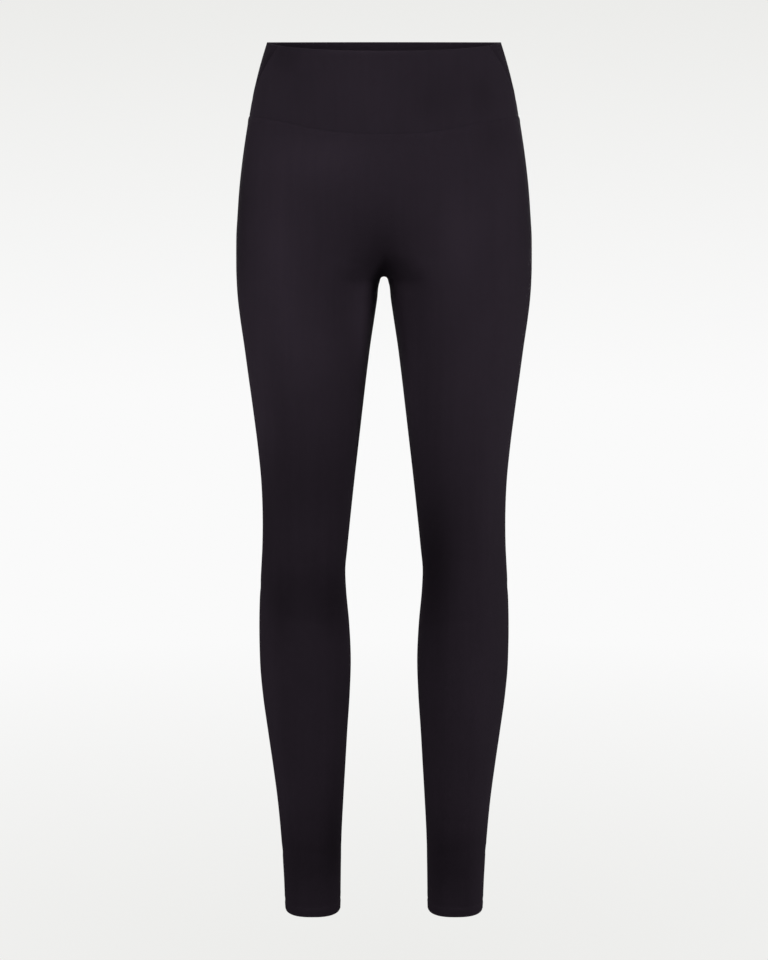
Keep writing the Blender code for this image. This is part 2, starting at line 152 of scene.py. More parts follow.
# ---- Seams --------------------------------------------------------------------------------------
# The cloth sinks at the stitching, by a depth and over a width. Beside it the seam allowance
# raises a ridge, at a distance and with a width of its own.
Seam = namedtuple("Seam", "sink width ridge ridge_at ridge_width")
BODY_SEAM = Seam(0.00060, 0.0014, 0.00030, 0.0042, 0.0026)
BAND_SEAM_UPPER = Seam(0.00040, 0.0012, 0.00000, 0.0040, 0.0020)
BAND_SEAM_LOWER = Seam(0.00040, 0.0012, 0.00035, 0.0044, 0.0028)
SLANT_SEAM = Seam(0.00115, 0.0020, 0.00015, 0.0056, 0.0028)
HEM_SEAM = Seam(0.00035, 0.0011, 0.00012, 0.0038, 0.0020)
SLANT_FOOT_SINK = 0.1     # share of its depth that the slanted seam keeps at its foot
SLANT_FADE = 0.012        # height over which it gets there
SLANT_LEAN = 0.72         # distance square to the slanted seam for each metre along a row
FORK_FADE = 2             # seat rows below the crotch over which the front's inseams sink in


# ---- The cloth's outer surface ------------------------------------------------------------------
def column_curve(name):
    """A smooth curve through one column of LEVELS, as a function of the height z."""
    depth = np.array([-level.z for level in LEVELS])
    value = np.array([getattr(level, name) for level in LEVELS])
    step = np.diff(depth)
    rise = np.diff(value) / step
    slope = np.empty(len(value))
    slope[0], slope[-1] = rise[0], rise[-1]
    slope[1:-1] = (rise[:-1] * step[1:] + rise[1:] * step[:-1]) / (step[:-1] + step[1:])
    most = STEEPEST * np.minimum(abs(rise[:-1]), abs(rise[1:]))
    monotone = rise[:-1] * rise[1:] > 0
    slope[1:-1] = np.where(monotone, np.clip(slope[1:-1], -most, most), slope[1:-1])

    def curve(z):
        t = np.clip(-z, depth[0], depth[-1])
        k = np.clip(np.searchsorted(depth, t, side="right") - 1, 0, len(step) - 1)
        s = (t - depth[k]) / step[k]
        keep, turn = s * s * (3 - 2 * s), s * (1 - s)
        return (value[k] * (1 - keep) + value[k + 1] * keep
                + step[k] * turn * (slope[k] * (1 - s) - slope[k + 1] * s))

    return curve


CURVES = {name: column_curve(name) for name in Level._fields[1:]}


def half_section(half, z):
    """Crest x, reach in from it and out from it, middle y, signed depth and exponent at z."""
    crest, middle = CURVES["crest_" + half](z), CURVES["middle"](z)
    reach_in, reach_out = crest - CURVES["inner_" + half](z), CURVES["outer"](z) - crest
    return crest, reach_in, reach_out, middle, CURVES[half](z) - middle, CURVES["square"](z)


def row_start(half, z):
    """Angle on the half section at z where it leaves the mid-plane: 0 below the crotch."""
    crest, reach_in, reach_out, _, _, square = half_section(half, z)
    lean = (crest - CROTCH_ROUND) / np.where(crest > CROTCH_ROUND, reach_in, reach_out)
    return np.arccos(np.sign(lean) * np.minimum(abs(lean), 1) ** (square / 2))


def surface_points(half, angle, z):
    """Points of the left side at heights and angles: 0 inseam, pi/2 crest and pi side."""
    crest, reach_in, reach_out, middle, depth, square = half_section(half, z)
    lean = np.cos(angle)
    across = crest - np.where(lean > 0, reach_in, -reach_out) * abs(lean) ** (2 / square)
    x = np.sqrt(np.maximum(across ** 2 - CROTCH_ROUND ** 2, 0))
    y = middle + depth * np.maximum(np.sin(angle), 0) ** (2 / square)
    return np.stack([x, y, z], axis=-1)


def swelling(half, points):
    """Under 1 inside the garment, 1 on its surface and over 1 outside."""
    x, y, z = np.moveaxis(points, -1, 0)
    crest, reach_in, reach_out, middle, depth, square = half_section(half, z)
    across = np.hypot(x, CROTCH_ROUND) - crest
    across = across / np.where(across > 0, reach_out, reach_in)
    return abs(across) ** square + abs((y - middle) / depth) ** square


def outward(half, points):
    """Unit normals of the surface, from the slope of swelling."""
    steps = NUDGE * np.eye(3)
    slope = np.stack([swelling(half, points + s) - swelling(half, points - s) for s in steps],
                     axis=-1)
    return slope / np.linalg.norm(slope, axis=-1, keepdims=True)


def side_fade(turn):
    """1 at the centre front, falling to 0 at the sides and staying there round the back."""
    return np.cos(np.minimum(abs(turn), SIDE) * math.pi / 2)


def band_bottom(turn):
    """Height of the waistband's bottom seam at a place round the waist."""
    return -BAND_HEIGHT - BAND_SEAM_DIP * side_fade(turn) ** BAND_SEAM_DIP_POWER


def band_top(turn):
    """Height of the waistband's top edge at a place round the waist."""
    return -RIM_DIP * side_fade(turn) ** RIM_DIP_POWER


# ---- Creases and other soft relief --------------------------------------------------------------
# Soft troughs (depth below 0) and ridges of the cloth. facing is the way that the spot faces, in
# degrees: 0 front, 90 the wearer's left and 180 back. tilt turns the crease from level: above 0 it
# climbs to the right of someone who looks at that spot. bend curves its ends upwards.
Crease = namedtuple("Crease", "x y z facing tilt length width depth bend")
CREASES = (
    # drag lines that fan out from the crotch over the fronts of the thighs
    Crease(-0.032, -0.088, -0.252, 0, -38, 0.030, 0.0060, -0.00075, 0.004),
    Crease(-0.050, -0.092, -0.236, 0, -24, 0.026, 0.0055, -0.00050, 0.003),
    Crease(0.036, -0.088, -0.256, 0, 35, 0.033, 0.0065, -0.00080, 0.005),
    Crease(0.048, -0.092, -0.231, 0, 20, 0.022, 0.0050, -0.00045, 0.002),
    Crease(-0.026, -0.085, -0.286, 0, -58, 0.024, 0.0050, -0.00045, 0.000),
    Crease(0.029, -0.085, -0.293, 0, 61, 0.027, 0.0055, -0.00050, 0.000),
    # long soft ridges where the cloth is drawn over the hips and thighs
    Crease(-0.126, -0.066, -0.255, -30, 86, 0.105, 0.0085, 0.00080, 0.004),
    Crease(-0.108, -0.080, -0.330, -15, 92, 0.070, 0.0090, 0.00045, 0.000),
    Crease(0.090, -0.094, -0.185, 12, 88, 0.048, 0.0090, 0.00075, 0.003),
    Crease(0.124, -0.066, -0.300, 30, 94, 0.085, 0.0085, 0.00050, 0.004),
    Crease(-0.044, -0.094, -0.225, 0, 78, 0.040, 0.0100, 0.00040, 0.000),
    # slack above and below the knees
    Crease(-0.078, -0.064, -0.548, 0, 9, 0.030, 0.0060, -0.00050, 0.005),
    Crease(-0.094, -0.062, -0.632, 0, -12, 0.026, 0.0055, -0.00060, -0.004),
    Crease(-0.066, -0.058, -0.655, 0, 16, 0.018, 0.0050, -0.00040, 0.000),
    Crease(0.082, -0.064, -0.560, 0, -7, 0.027, 0.0060, -0.00045, 0.004),
    Crease(0.076, -0.060, -0.628, 0, 14, 0.029, 0.0060, -0.00065, -0.005),
    Crease(0.104, -0.058, -0.651, 10, -18, 0.017, 0.0050, -0.00035, 0.000),
    # faint rings where each leg narrows to the ankle
    Crease(-0.080, -0.020, -0.868, 0, 8, 0.026, 0.0050, -0.00040, -0.003),
    Crease(-0.074, -0.018, -0.902, 0, -6, 0.021, 0.0045, -0.00055, 0.002),
    Crease(-0.090, -0.018, -0.930, -15, 11, 0.018, 0.0040, -0.00035, 0.000),
    Crease(0.084, -0.022, -0.858, 0, -10, 0.022, 0.0050, -0.00035, -0.002),
    Crease(0.078, -0.018, -0.894, 0, 5, 0.025, 0.0045, -0.00055, 0.003),
    Crease(0.090, -0.018, -0.925, 15, -9, 0.020, 0.0042, -0.00040, 0.000),
    # under the seat
    Crease(-0.078, 0.098, -0.268, 180, -7, 0.040, 0.0085, -0.00130, 0.010),
    Crease(-0.062, 0.094, -0.291, 180, -15, 0.027, 0.0065, -0.00070, 0.006),
    Crease(0.074, 0.098, -0.271, 180, 9, 0.043, 0.0090, -0.00140, 0.011),
    Crease(0.090, 0.090, -0.296, 180, 5, 0.024, 0.0060, -0.00060, 0.004),
    Crease(-0.024, 0.100, -0.240, 180, 52, 0.022, 0.0055, -0.00060, 0.000),
    Crease(0.026, 0.100, -0.244, 180, -49, 0.025, 0.0055, -0.00065, 0.000),
    Crease(-0.030, 0.122, -0.128, 180, -35, 0.022, 0.0065, -0.00040, 0.000),
    Crease(0.028, 0.122, -0.136, 180, 38, 0.026, 0.0065, -0.00045, 0.000),
    # behind the knees
    Crease(-0.084, 0.053, -0.556, 180, 6, 0.028, 0.0055, -0.00080, -0.004),
    Crease(-0.092, 0.050, -0.581, 180, -5, 0.032, 0.0062, -0.00115, 0.003),
    Crease(-0.080, 0.053, -0.606, 180, 11, 0.024, 0.0052, -0.00075, 0.004),
    Crease(0.090, 0.053, -0.550, 180, -8, 0.025, 0.0055, -0.00070, -0.003),
    Crease(0.084, 0.050, -0.577, 180, 4, 0.034, 0.0064, -0.00120, 0.002),
    Crease(0.093, 0.052, -0.601, 180, -12, 0.027, 0.0055, -0.00085, 0.004),
    Crease(0.078, 0.056, -0.625, 180, 9, 0.019, 0.0048, -0.00050, 0.000),
    # above the heels
    Crease(-0.082, 0.055, -0.884, 180, 7, 0.024, 0.0048, -0.00060, 0.002),
    Crease(-0.074, 0.055, -0.912, 180, -10, 0.019, 0.0044, -0.00045, 0.000),
    Crease(0.078, 0.055, -0.878, 180, -6, 0.021, 0.0048, -0.00050, 0.000),
    Crease(0.086, 0.055, -0.905, 180, 8, 0.025, 0.0046, -0.00065, 0.002),
    # slack at the sides of the knees and ankles
    Crease(-0.135, 0.000, -0.590, -90, 8, 0.024, 0.0055, -0.00050, 0.000),
    Crease(0.135, 0.002, -0.598, 90, -10, 0.026, 0.0055, -0.00055, 0.000),
    Crease(-0.112, 0.018, -0.905, -90, 6, 0.016, 0.0044, -0.00045, 0.000),
    Crease(0.113, 0.018, -0.898, 90, -8, 0.018, 0.0044, -0.00050, 0.000),
)
CREASE_REACH = 0.045      # how far from its spot, square to the cloth, a crease still counts


def relief(points):
    """How far creases move each point of the cloth out."""
    total = np.zeros(points.shape[:-1])
    for crease in CREASES:
        facing, tilt = math.radians(crease.facing), math.radians(crease.tilt)
        out = np.array([math.sin(facing), -math.cos(facing), 0])
        level = np.array([math.cos(facing), math.sin(facing), 0])    # to that viewer's right
        along = level * math.cos(tilt) + np.array([0, 0, math.sin(tilt)])
        across = -level * math.sin(tilt) + np.array([0, 0, math.cos(tilt)])
        away = points - (crease.x, crease.y, crease.z)
        a = away @ along / crease.length
        b = (away @ across - crease.bend * a ** 2) / crease.width
        c = away @ out / CREASE_REACH
        total += crease.depth * np.exp(-(a ** 2 + b ** 2 + c ** 2))
    return total


# Painted light and shade: soft places where the cloth's colour is made paler, as a painted
# highlight, or darker, as painted shade, in place of the light that falls there. across and down are
# the place's half-widths, and gain is how much paler it is, as a share.
PaintedSpot = namedtuple("PaintedSpot", "x y z across down gain")
PAINTED_SPOTS = (
    PaintedSpot(-0.070, -0.100, -0.122, 0.060, 0.026, 0.22),    # below the waistband
    PaintedSpot(-0.112, -0.080, -0.220, 0.024, 0.090, 0.28),    # hips
    PaintedSpot(0.080, -0.095, -0.210, 0.022, 0.055, 0.16),
    PaintedSpot(-0.158, 0.000, -0.165, 0.016, 0.095, -0.38),
    PaintedSpot(0.156, 0.000, -0.195, 0.014, 0.100, -0.24),
    PaintedSpot(0.118, -0.075, -0.100, 0.018, 0.026, -0.15),
    PaintedSpot(-0.005, -0.100, -0.212, 0.040, 0.036, -0.28),   # pelvis and crotch
    PaintedSpot(0.000, -0.090, -0.247, 0.034, 0.014, -0.12),
    PaintedSpot(0.000, -0.060, -0.264, 0.016, 0.010, 0.80),
    PaintedSpot(0.000, -0.030, -0.290, 0.018, 0.028, 0.60),
    PaintedSpot(-0.138, -0.030, -0.345, 0.026, 0.075, 0.24),    # thighs
    PaintedSpot(-0.085, -0.090, -0.325, 0.040, 0.045, 0.20),
    PaintedSpot(-0.023, -0.040, -0.300, 0.014, 0.050, 0.40),
    PaintedSpot(0.100, -0.080, -0.350, 0.030, 0.070, 0.10),
    PaintedSpot(0.026, -0.035, -0.385, 0.011, 0.065, 0.40),
    PaintedSpot(-0.134, -0.020, -0.412, 0.018, 0.040, 0.20),
    PaintedSpot(-0.085, -0.060, -0.480, 0.055, 0.055, -0.20),   # knees
    PaintedSpot(-0.134, -0.020, -0.530, 0.016, 0.045, -0.20),
    PaintedSpot(-0.088, -0.050, -0.590, 0.055, 0.040, -0.26),
    PaintedSpot(-0.055, -0.050, -0.615, 0.016, 0.032, -0.20),
    PaintedSpot(-0.112, -0.050, -0.620, 0.014, 0.030, -0.10),
    PaintedSpot(0.047, -0.050, -0.580, 0.024, 0.085, -0.46),
    PaintedSpot(0.073, -0.060, -0.530, 0.028, 0.080, -0.20),
    PaintedSpot(0.130, -0.020, -0.560, 0.020, 0.060, -0.14),
    PaintedSpot(-0.126, -0.020, -0.735, 0.018, 0.085, 0.20),    # shins
    PaintedSpot(-0.075, -0.050, -0.765, 0.032, 0.050, 0.07),
    PaintedSpot(0.103, -0.045, -0.720, 0.018, 0.075, 0.20),
    PaintedSpot(0.134, 0.000, -0.690, 0.014, 0.070, -0.12),
    PaintedSpot(-0.054, -0.010, -0.875, 0.016, 0.060, -0.28),   # ankles
    PaintedSpot(-0.080, -0.020, -0.905, 0.034, 0.040, -0.20),
    PaintedSpot(-0.112, -0.020, -0.825, 0.018, 0.040, 0.16),
    PaintedSpot(0.068, -0.010, -0.905, 0.028, 0.045, -0.30),
    PaintedSpot(0.100, -0.010, -0.840, 0.018, 0.040, 0.10),
    PaintedSpot(-0.082, 0.125, -0.165, 0.040, 0.050, 0.14),     # seat
    PaintedSpot(0.078, 0.125, -0.172, 0.042, 0.048, 0.15),
    PaintedSpot(-0.072, 0.095, -0.275, 0.050, 0.016, -0.16),
    PaintedSpot(0.070, 0.095, -0.278, 0.052, 0.016, -0.17),
    PaintedSpot(0.000, 0.110, -0.225, 0.022, 0.030, -0.15),
    PaintedSpot(-0.096, 0.080, -0.400, 0.034, 0.090, 0.12),     # backs of the thighs
    PaintedSpot(0.092, 0.080, -0.390, 0.034, 0.095, 0.12),
    PaintedSpot(-0.088, 0.050, -0.580, 0.040, 0.045, -0.22),    # backs of the knees
    PaintedSpot(0.088, 0.050, -0.578, 0.042, 0.048, -0.23),
    PaintedSpot(-0.092, 0.062, -0.715, 0.030, 0.070, 0.14),     # calves
    PaintedSpot(0.090, 0.062, -0.720, 0.030, 0.068, 0.14),
    PaintedSpot(-0.080, 0.055, -0.900, 0.030, 0.040, -0.12),
    PaintedSpot(0.080, 0.055, -0.898, 0.030, 0.042, -0.12),
)
# painted light and shade on the waistband's front
BAND_FRONT_PAINTED_SPOTS = (
    PaintedSpot(0.055, -0.100, -0.055, 0.030, 0.030, -0.12),
    PaintedSpot(0.106, -0.080, -0.056, 0.018, 0.026, -0.14),
    PaintedSpot(-0.020, -0.095, -0.050, 0.030, 0.030, 0.06),
    PaintedSpot(-0.106, -0.070, -0.012, 0.016, 0.018, -0.20),
    PaintedSpot(-0.020, -0.095, -0.0100, 0.045, 0.0025, 0.22),  # painted highlight along the fold
)
# painted light and shade on the waistband's back
BAND_BACK_PAINTED_SPOTS = (
    PaintedSpot(-0.128, -0.020, -0.012, 0.015, 0.028, -0.34),   # painted shade on the corners that wrap forward
    PaintedSpot(0.128, -0.020, -0.010, 0.014, 0.026, -0.20),
    PaintedSpot(-0.060, 0.098, -0.040, 0.034, 0.028, 0.05),
    PaintedSpot(0.045, 0.098, -0.050, 0.030, 0.026, -0.06),
)
PAINTED_SPOT_DEPTH = 0.06         # how far from its place, front to back, a painted spot still counts
INSIDE_PURL_AND_PAINTED_LIGHT = 0.45       # the purl side of the jersey is paler, and this also lifts the shaded inside as painted light


def painted_light(points, painted_spots):
    """How much paler, as a share, painted light and shade make each point of the cloth than the
    plain colour.
    """
    total = np.zeros(len(points))
    for tone in painted_spots:
        reach = (tone.across, PAINTED_SPOT_DEPTH, tone.down)
        away = (points - (tone.x, tone.y, tone.z)) / reach
        total += tone.gain * np.exp(-(away ** 2).sum(axis=1))
    return total


def seam_relief(distance, seam):
    """How far the cloth near a seam stands out, at a distance from it."""
    sink = -seam.sink * np.exp(-(distance / seam.width) ** 2)
    return sink + seam.ridge * np.exp(-((distance - seam.ridge_at) / seam.ridge_width) ** 2)


def along_rows(grid):
    """Distance of each point from the first one of its row."""
    steps = np.linalg.norm(np.diff(grid, axis=1), axis=-1)
    return np.concatenate([np.zeros((len(grid), 1)), np.cumsum(steps, axis=1)], axis=1)


def along_columns(grid):
    """Distance of each point from the first one of its column."""
    return along_rows(grid.swapaxes(0, 1)).swapaxes(0, 1)


# ---- Building a shell ---------------------------------------------------------------------------
def rolled(edge, normals, onward, thickness, start, end):
    """Rows of points round a folded edge, from one angle to another: 0 outer face, pi inner."""
    radius = thickness / 2
    rows = []
    for angle in np.linspace(start, end, FOLD_STEPS + 1):
        rows.append(edge + onward * radius * math.sin(angle)
                    - normals * radius * (1 - math.cos(angle)))
    return np.array(rows)


Patch = namedtuple("Patch", "outer inner cloth")    # cloth: place in the fabric, in metres


def mirrored(patch):
    """The patch on the garment's other side, with its columns turned round."""
    outer, inner = (grid[:, ::-1] * (-1, 1, 1) for grid in (patch.outer, patch.inner))
    return Patch(outer, inner, patch.cloth[:, ::-1] * (-1, 1, 1))


def quads(grid):
    """The four corners of each cell of a grid of points or of point numbers."""
    cells = np.stack([grid[:-1, :-1], grid[1:, :-1], grid[1:, 1:], grid[:-1, 1:]], axis=2)
    return cells.reshape(-1, *cells.shape[2:])


def shell(name, patches, material, node, painted_spots):
    """One closed wall of cloth from patches, joined where their points meet."""
    numbers, points, place, inner_of = {}, [], [], {}

    def number(point, cloth):
        """Number of a point, which is added where it is new."""
        key = tuple(np.round(point, WELD_DIGITS) + 0.0)
        if key not in numbers:
            numbers[key] = len(points)
            points.append(point)
            place.append(cloth)
        return numbers[key]

    outer_faces, inner_faces, outer_cloth, inner_cloth = [], [], [], []
    for patch in patches:
        shape = patch.outer.shape[:2]
        outer, inner = np.empty(shape, dtype=int), np.empty(shape, dtype=int)
        for at in np.ndindex(shape):
            outer[at] = number(patch.outer[at], patch.cloth[at])
            inner[at] = number(patch.inner[at], patch.cloth[at])
            inner_of[outer[at]] = inner[at]
        outer_faces += quads(outer).tolist()
        inner_faces += quads(inner[:, ::-1]).tolist()
        outer_cloth.append(quads(patch.cloth).reshape(-1, 3))
        inner_cloth.append(quads(patch.cloth[:, ::-1]).reshape(-1, 3))
    sides = {(quad[i - 1], quad[i]) for quad in outer_faces + inner_faces for i in range(4)}
    walls = []
    for quad in outer_faces:
        for i in range(4):
            a, b = quad[i - 1], quad[i]
            if (b, a) not in sides:
                ring = [b, a, inner_of[a], inner_of[b]]
                walls.append([v for k, v in enumerate(ring) if v not in ring[:k]])
    mesh = bpy.data.meshes.new(name)
    mesh.from_pydata(points, [], outer_faces + inner_faces + walls)
    mesh.materials.append(material)
    mesh.shade_smooth()
    mesh.set_sharp_from_angle(angle=SHARP_EDGE)
    wall_cloth = [place[v] for wall in walls for v in wall]
    attribute = mesh.attributes.new("cloth", "FLOAT_VECTOR", "CORNER")
    attribute.data.foreach_set(
        "vector", np.concatenate([*outer_cloth, *inner_cloth, wall_cloth]).ravel())
    # painted light and shade of the cloth; inside, the purl side's paleness, partly painted light
    painted_and_purl = painted_light(np.array(points), painted_spots)
    painted_and_purl[sorted(set(inner_of.values()) - set(inner_of))] = INSIDE_PURL_AND_PAINTED_LIGHT
    attribute = mesh.attributes.new("painted_light", "FLOAT", "POINT")
    attribute.data.foreach_set("value", painted_and_purl)
    piece = bpy.data.objects.new(name, mesh)
    bpy.context.scene.collection.objects.link(piece)
    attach(piece, "root")
    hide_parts(node)
    return piece


# ---- Seat and legs ------------------------------------------------------------------------------
def crowd(count):
    """Shares from 0 to 1 that lie closer together towards both ends."""
    share = np.linspace(0, 1, count + 1)
    return share - CROWDING * np.sin(2 * math.pi * share) / (2 * math.pi)


def leg_rows(half, share):
    """Heights, starts and seat-row numbers of the rows from the waist seam to the hem's stitches."""
    hem_top = -LENGTH + HEM_TURN
    place = share if half == FRONT else CENTRE_BACK - share
    centres = [row.centre_front if half == FRONT else row.centre_back for row in SEAT_ROWS]
    coarse = [row.side + (centre - row.side) * (1 - share) ** ROW_FAN
              for row, centre in zip(SEAT_ROWS, centres)]
    coarse[0] = band_bottom(place)
    first_step = SEAT_ROWS[0].side - SEAT_ROWS[1].side
    split = [0.0, *(step / first_step for step in EDGE_STEPS)]
    split += list(np.linspace(split[-1], 1, SEAT_SPLIT)[1:-1])
    rows, starts, between = [], [], []
    for k in range(len(SEAT_ROWS) - 1):
        parts = split if k == 0 else np.arange(SEAT_SPLIT) / SEAT_SPLIT
        for part in parts:
            rows.append(coarse[k] * (1 - part) + coarse[k + 1] * part)
            starts.append(centres[k] * (1 - part) + centres[k + 1] * part)
            between.append(k + part)
    side, centre = SEAT_ROWS[-1].side, centres[-1]
    count = round((side - hem_top) / LEG_ROW)
    fade = np.linspace(0, 1, count + 1)
    down = side + (hem_top - side) * fade
    first = coarse[-1] - side
    settle = np.clip(1 - fade * LEVELLING, 0, 1)
    for z, keep in zip(down, settle):
        rows.append(z + first * keep)
        starts.append(z + (centre - side) * keep)
        between.append(len(SEAT_ROWS))
    return np.array(rows), np.array(starts), np.array(between)


def hem_tilt(half, angle, z):
    """How much a leg's ring is lifted at this angle, so that the hem tilts."""
    front, back = CURVES[FRONT](z), CURVES[BACK](z)
    rearward = (surface_points(half, angle, z)[..., 1] - front) / (back - front)
    started = np.clip((-z - HEM_LIFT_START) / (LENGTH - HEM_LIFT_START), 0, 1)
    return HEM_LIFT * rearward * started


def leg_patch(half):
    """Patch of the left side's front or back, from the waist seam to the hem."""
    share = crowd(COLUMNS)
    heights, starts, between = leg_rows(half, share)
    hem_rows = np.append(-LENGTH + HEM_TURN - np.array(HEM_STEPS), -LENGTH + HEM / 2)
    heights = np.concatenate([heights, hem_rows[:, None] + 0 * share])
    starts = np.concatenate([starts, hem_rows])
    between = np.concatenate([between, np.full(len(hem_rows), float(len(SEAT_ROWS)))])
    begin = row_start(half, starts)[:, None]
    angle = begin + (math.pi - begin) * share
    z = heights + hem_tilt(half, angle, heights)
    grid = surface_points(half, angle, z)
    above_fork = between <= CROTCH_ROW
    grid[above_fork, 0, 0] = 0
    normals = outward(half, grid)

    down, across = along_columns(grid), along_rows(grid)
    to_side = across[:, -1:] - across
    out = relief(grid) + seam_relief(down, BAND_SEAM_LOWER) + seam_relief(to_side, BODY_SEAM)
    inner_seam = seam_relief(across, BODY_SEAM)
    if half == FRONT:    # one piece, with no seam down its centre
        inner_seam *= np.clip((between - CROTCH_ROW) / FORK_FADE, 0, 1)[:, None]
    out += inner_seam + seam_relief(abs(heights + LENGTH - HEM_TURN), HEM_SEAM)
    outer = grid + normals * out[..., None]
    thickness = np.where(heights[:, :1] > -LENGTH + HEM_TURN, JERSEY, HEM)
    inner = outer - normals * thickness[..., None]

    onward = np.array([0, 0, -1.0])
    fold = rolled(outer[-1], normals[-1], onward, HEM, 0, math.pi / 2)[1:]
    under = rolled(outer[-1], normals[-1], onward, HEM, math.pi, math.pi / 2)[1:]
    outer, inner = np.concatenate([outer, fold]), np.concatenate([inner, under])
    crest_at = np.array([np.interp(math.pi / 2, *row) for row in zip(angle, across)])[:, None]
    crest = CURVES["crest_" + half](z)
    cloth = np.stack([crest + across - crest_at, -z, 0 * z], axis=-1)
    cloth = np.concatenate([cloth, np.repeat(cloth[-1:], FOLD_STEPS, axis=0)])
    if half == BACK:
        outer, inner, cloth = outer[:, ::-1], inner[:, ::-1], cloth[:, ::-1]
    return Patch(outer, inner, cloth)


# ---- Waistband ----------------------------------------------------------------------------------
def slant(height):
    """Place of the slanted seam round the waist, at a share of the band's height."""
    return SLANT_FOOT + (SLANT_TOP - SLANT_FOOT) * height


def band_points(turn, height):
    """Points and normals of the waistband at places round the waist and shares of its height."""
    turn = np.where(turn > CENTRE_BACK, turn - FULL_TURN, turn)
    ahead = abs(turn) <= SIDE
    points, normals = np.empty(turn.shape + (3,)), np.empty(turn.shape + (3,))
    for half, mask, middle in ((FRONT, ahead, 0), (BACK, ~ahead, CENTRE_BACK)):
        if not mask.any():
            continue
        share = abs(turn[mask]) if half == FRONT else CENTRE_BACK - abs(turn[mask])
        z, centre = (band_bottom(at) + (band_top(at) - band_bottom(at)) * height[mask]
                     for at in (turn[mask], middle))
        start = row_start(half, centre)
        left = surface_points(half, start + (math.pi - start) * share, z)
        flip = np.stack([np.where(turn[mask] < 0, -1, 1), 1 + 0 * z, 1 + 0 * z], axis=-1)
        points[mask] = left * flip
        normals[mask] = outward(half, left) * flip
    return points, normals


def band_patch(first, last, turns):
    """Patch of the waistband between two functions of the height that give its ends."""
    tall = BAND_HEIGHT
    low = [0.0, *(step / tall for step in EDGE_STEPS)]
    top = 1 - BAND / 2 / tall
    heights = np.concatenate([low, np.linspace(low[-1], top, BAND_ROWS)[1:]])[::-1]
    share = crowd(round(turns * BAND_COLUMNS_A_TURN))
    height = heights[:, None] + 0 * share
    turn = first(height) + (last(height) - first(height)) * share
    grid, normals = band_points(turn, height)

    across, down = along_rows(grid), along_columns(grid)
    up = down[-1:] - down
    out = relief(grid) + seam_relief(up, BAND_SEAM_UPPER)
    shallow = SLANT_FOOT_SINK + (1 - SLANT_FOOT_SINK) * (1 - np.exp(-(up / SLANT_FADE) ** 2))
    for distance in (across, across[:, -1:] - across):
        out += seam_relief(distance * SLANT_LEAN, SLANT_SEAM) * shallow
    outer = grid + normals * out[..., None]
    inner = outer - normals * BAND
    onward = np.array([0, 0, 1.0])
    fold = rolled(outer[0], normals[0], onward, BAND, math.pi / 2, 0)[:-1]
    under = rolled(outer[0], normals[0], onward, BAND, math.pi / 2, math.pi)[:-1]
    outer, inner = np.concatenate([fold, outer]), np.concatenate([under, inner])
    middle = across[:, -1:] / 2
    cloth = np.stack([across - middle, down, 0 * down], axis=-1)
    cloth = np.concatenate([np.repeat(cloth[:1], FOLD_STEPS, axis=0), cloth])
    return Patch(outer, inner, cloth)


# ---- Stitches -----------------------------------------------------------------------------------
Stitching = namedtuple("Stitching", "length gap radius rise")    # rise: middle above the cloth
HEM_STITCH = Stitching(0.0027, 0.0006, 0.00021, 0.00005)
# Rings of a thread: how far along it each lies, and its share of the full radius.
STITCH_STATIONS = ((0.0, 0.25), (0.12, 0.8), (0.35, 1.0), (0.65, 1.0), (0.88, 0.8), (1.0, 0.25))
STITCH_SIDES = 6


def spaced(path, normals, count):
    """Points and normals at equal steps along a path, count of them and one more."""
    steps = np.linalg.norm(np.diff(path, axis=0), axis=1)
    reach = np.concatenate([[0], np.cumsum(steps)])
    at = np.linspace(0, reach[-1], count + 1)
    points = np.stack([np.interp(at, reach, axis) for axis in path.T], axis=1)
    facing = np.stack([np.interp(at, reach, axis) for axis in normals.T], axis=1)
    return points, facing / np.linalg.norm(facing, axis=1, keepdims=True)


def stitches(name, path, normals, stitching, material):
    """A row of short threads lying on the cloth along a path, as one mesh."""
    steps = np.linalg.norm(np.diff(path, axis=0), axis=1)
    count = round(steps.sum() / (stitching.length + stitching.gap))
    ends, facing = spaced(path, normals, count)
    share = stitching.length / (stitching.length + stitching.gap)
    around = np.arange(STITCH_SIDES) * 2 * math.pi / STITCH_SIDES
    points, faces = [], []
    for start, end, out in zip(ends[:-1], ends[1:], facing[:-1]):
        along = end - start
        across = np.cross(along / np.linalg.norm(along), out)
        base = len(points)
        for place, fullness in STITCH_STATIONS:
            lift = stitching.rise - (1 - fullness) * stitching.radius
            middle = start + along * place * share + out * lift
            for turn in around:
                side = across * math.cos(turn) + out * math.sin(turn)
                points.append(middle + side * stitching.radius * fullness)
        for ring in range(len(STITCH_STATIONS) - 1):
            for k in range(STITCH_SIDES):
                a, b = (base + ring * STITCH_SIDES + j for j in (k, (k + 1) % STITCH_SIDES))
                faces.append((a, b, b + STITCH_SIDES, a + STITCH_SIDES))
        last = base + (len(STITCH_STATIONS) - 1) * STITCH_SIDES
        faces.append(tuple(base + k for k in reversed(range(STITCH_SIDES))))
        faces.append(tuple(last + k for k in range(STITCH_SIDES)))
    mesh = bpy.data.meshes.new(name)
    mesh.from_pydata(points, [], faces)
    mesh.materials.append(material)
    mesh.shade_smooth()
    piece = bpy.data.objects.new(name, mesh)
    bpy.context.scene.collection.objects.link(piece)
    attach(piece, "root")
    return piece


def hem_line(above, side):
    """Path and normals once round a leg at a height above the hem's edge; side is 1 or -1."""
    share = np.linspace(0, 1, COLUMNS + 1)
    points, normals = [], []
    for half in (FRONT, BACK):
        level = np.full_like(share, above - LENGTH)
        angle = math.pi * share
        z = level + hem_tilt(half, angle, level)
        ring = surface_points(half, angle, z)
        ring_normals = outward(half, ring)
        if half == BACK:
            ring, ring_normals = ring[::-1], ring_normals[::-1]
        points.append(ring)
        normals.append(ring_normals)
    points, normals = np.concatenate(points), np.concatenate(normals)
    out = relief(points) - HEM_SEAM.sink
    return (points + normals * out[:, None]) * (side, 1, 1), normals * (side, 1, 1)


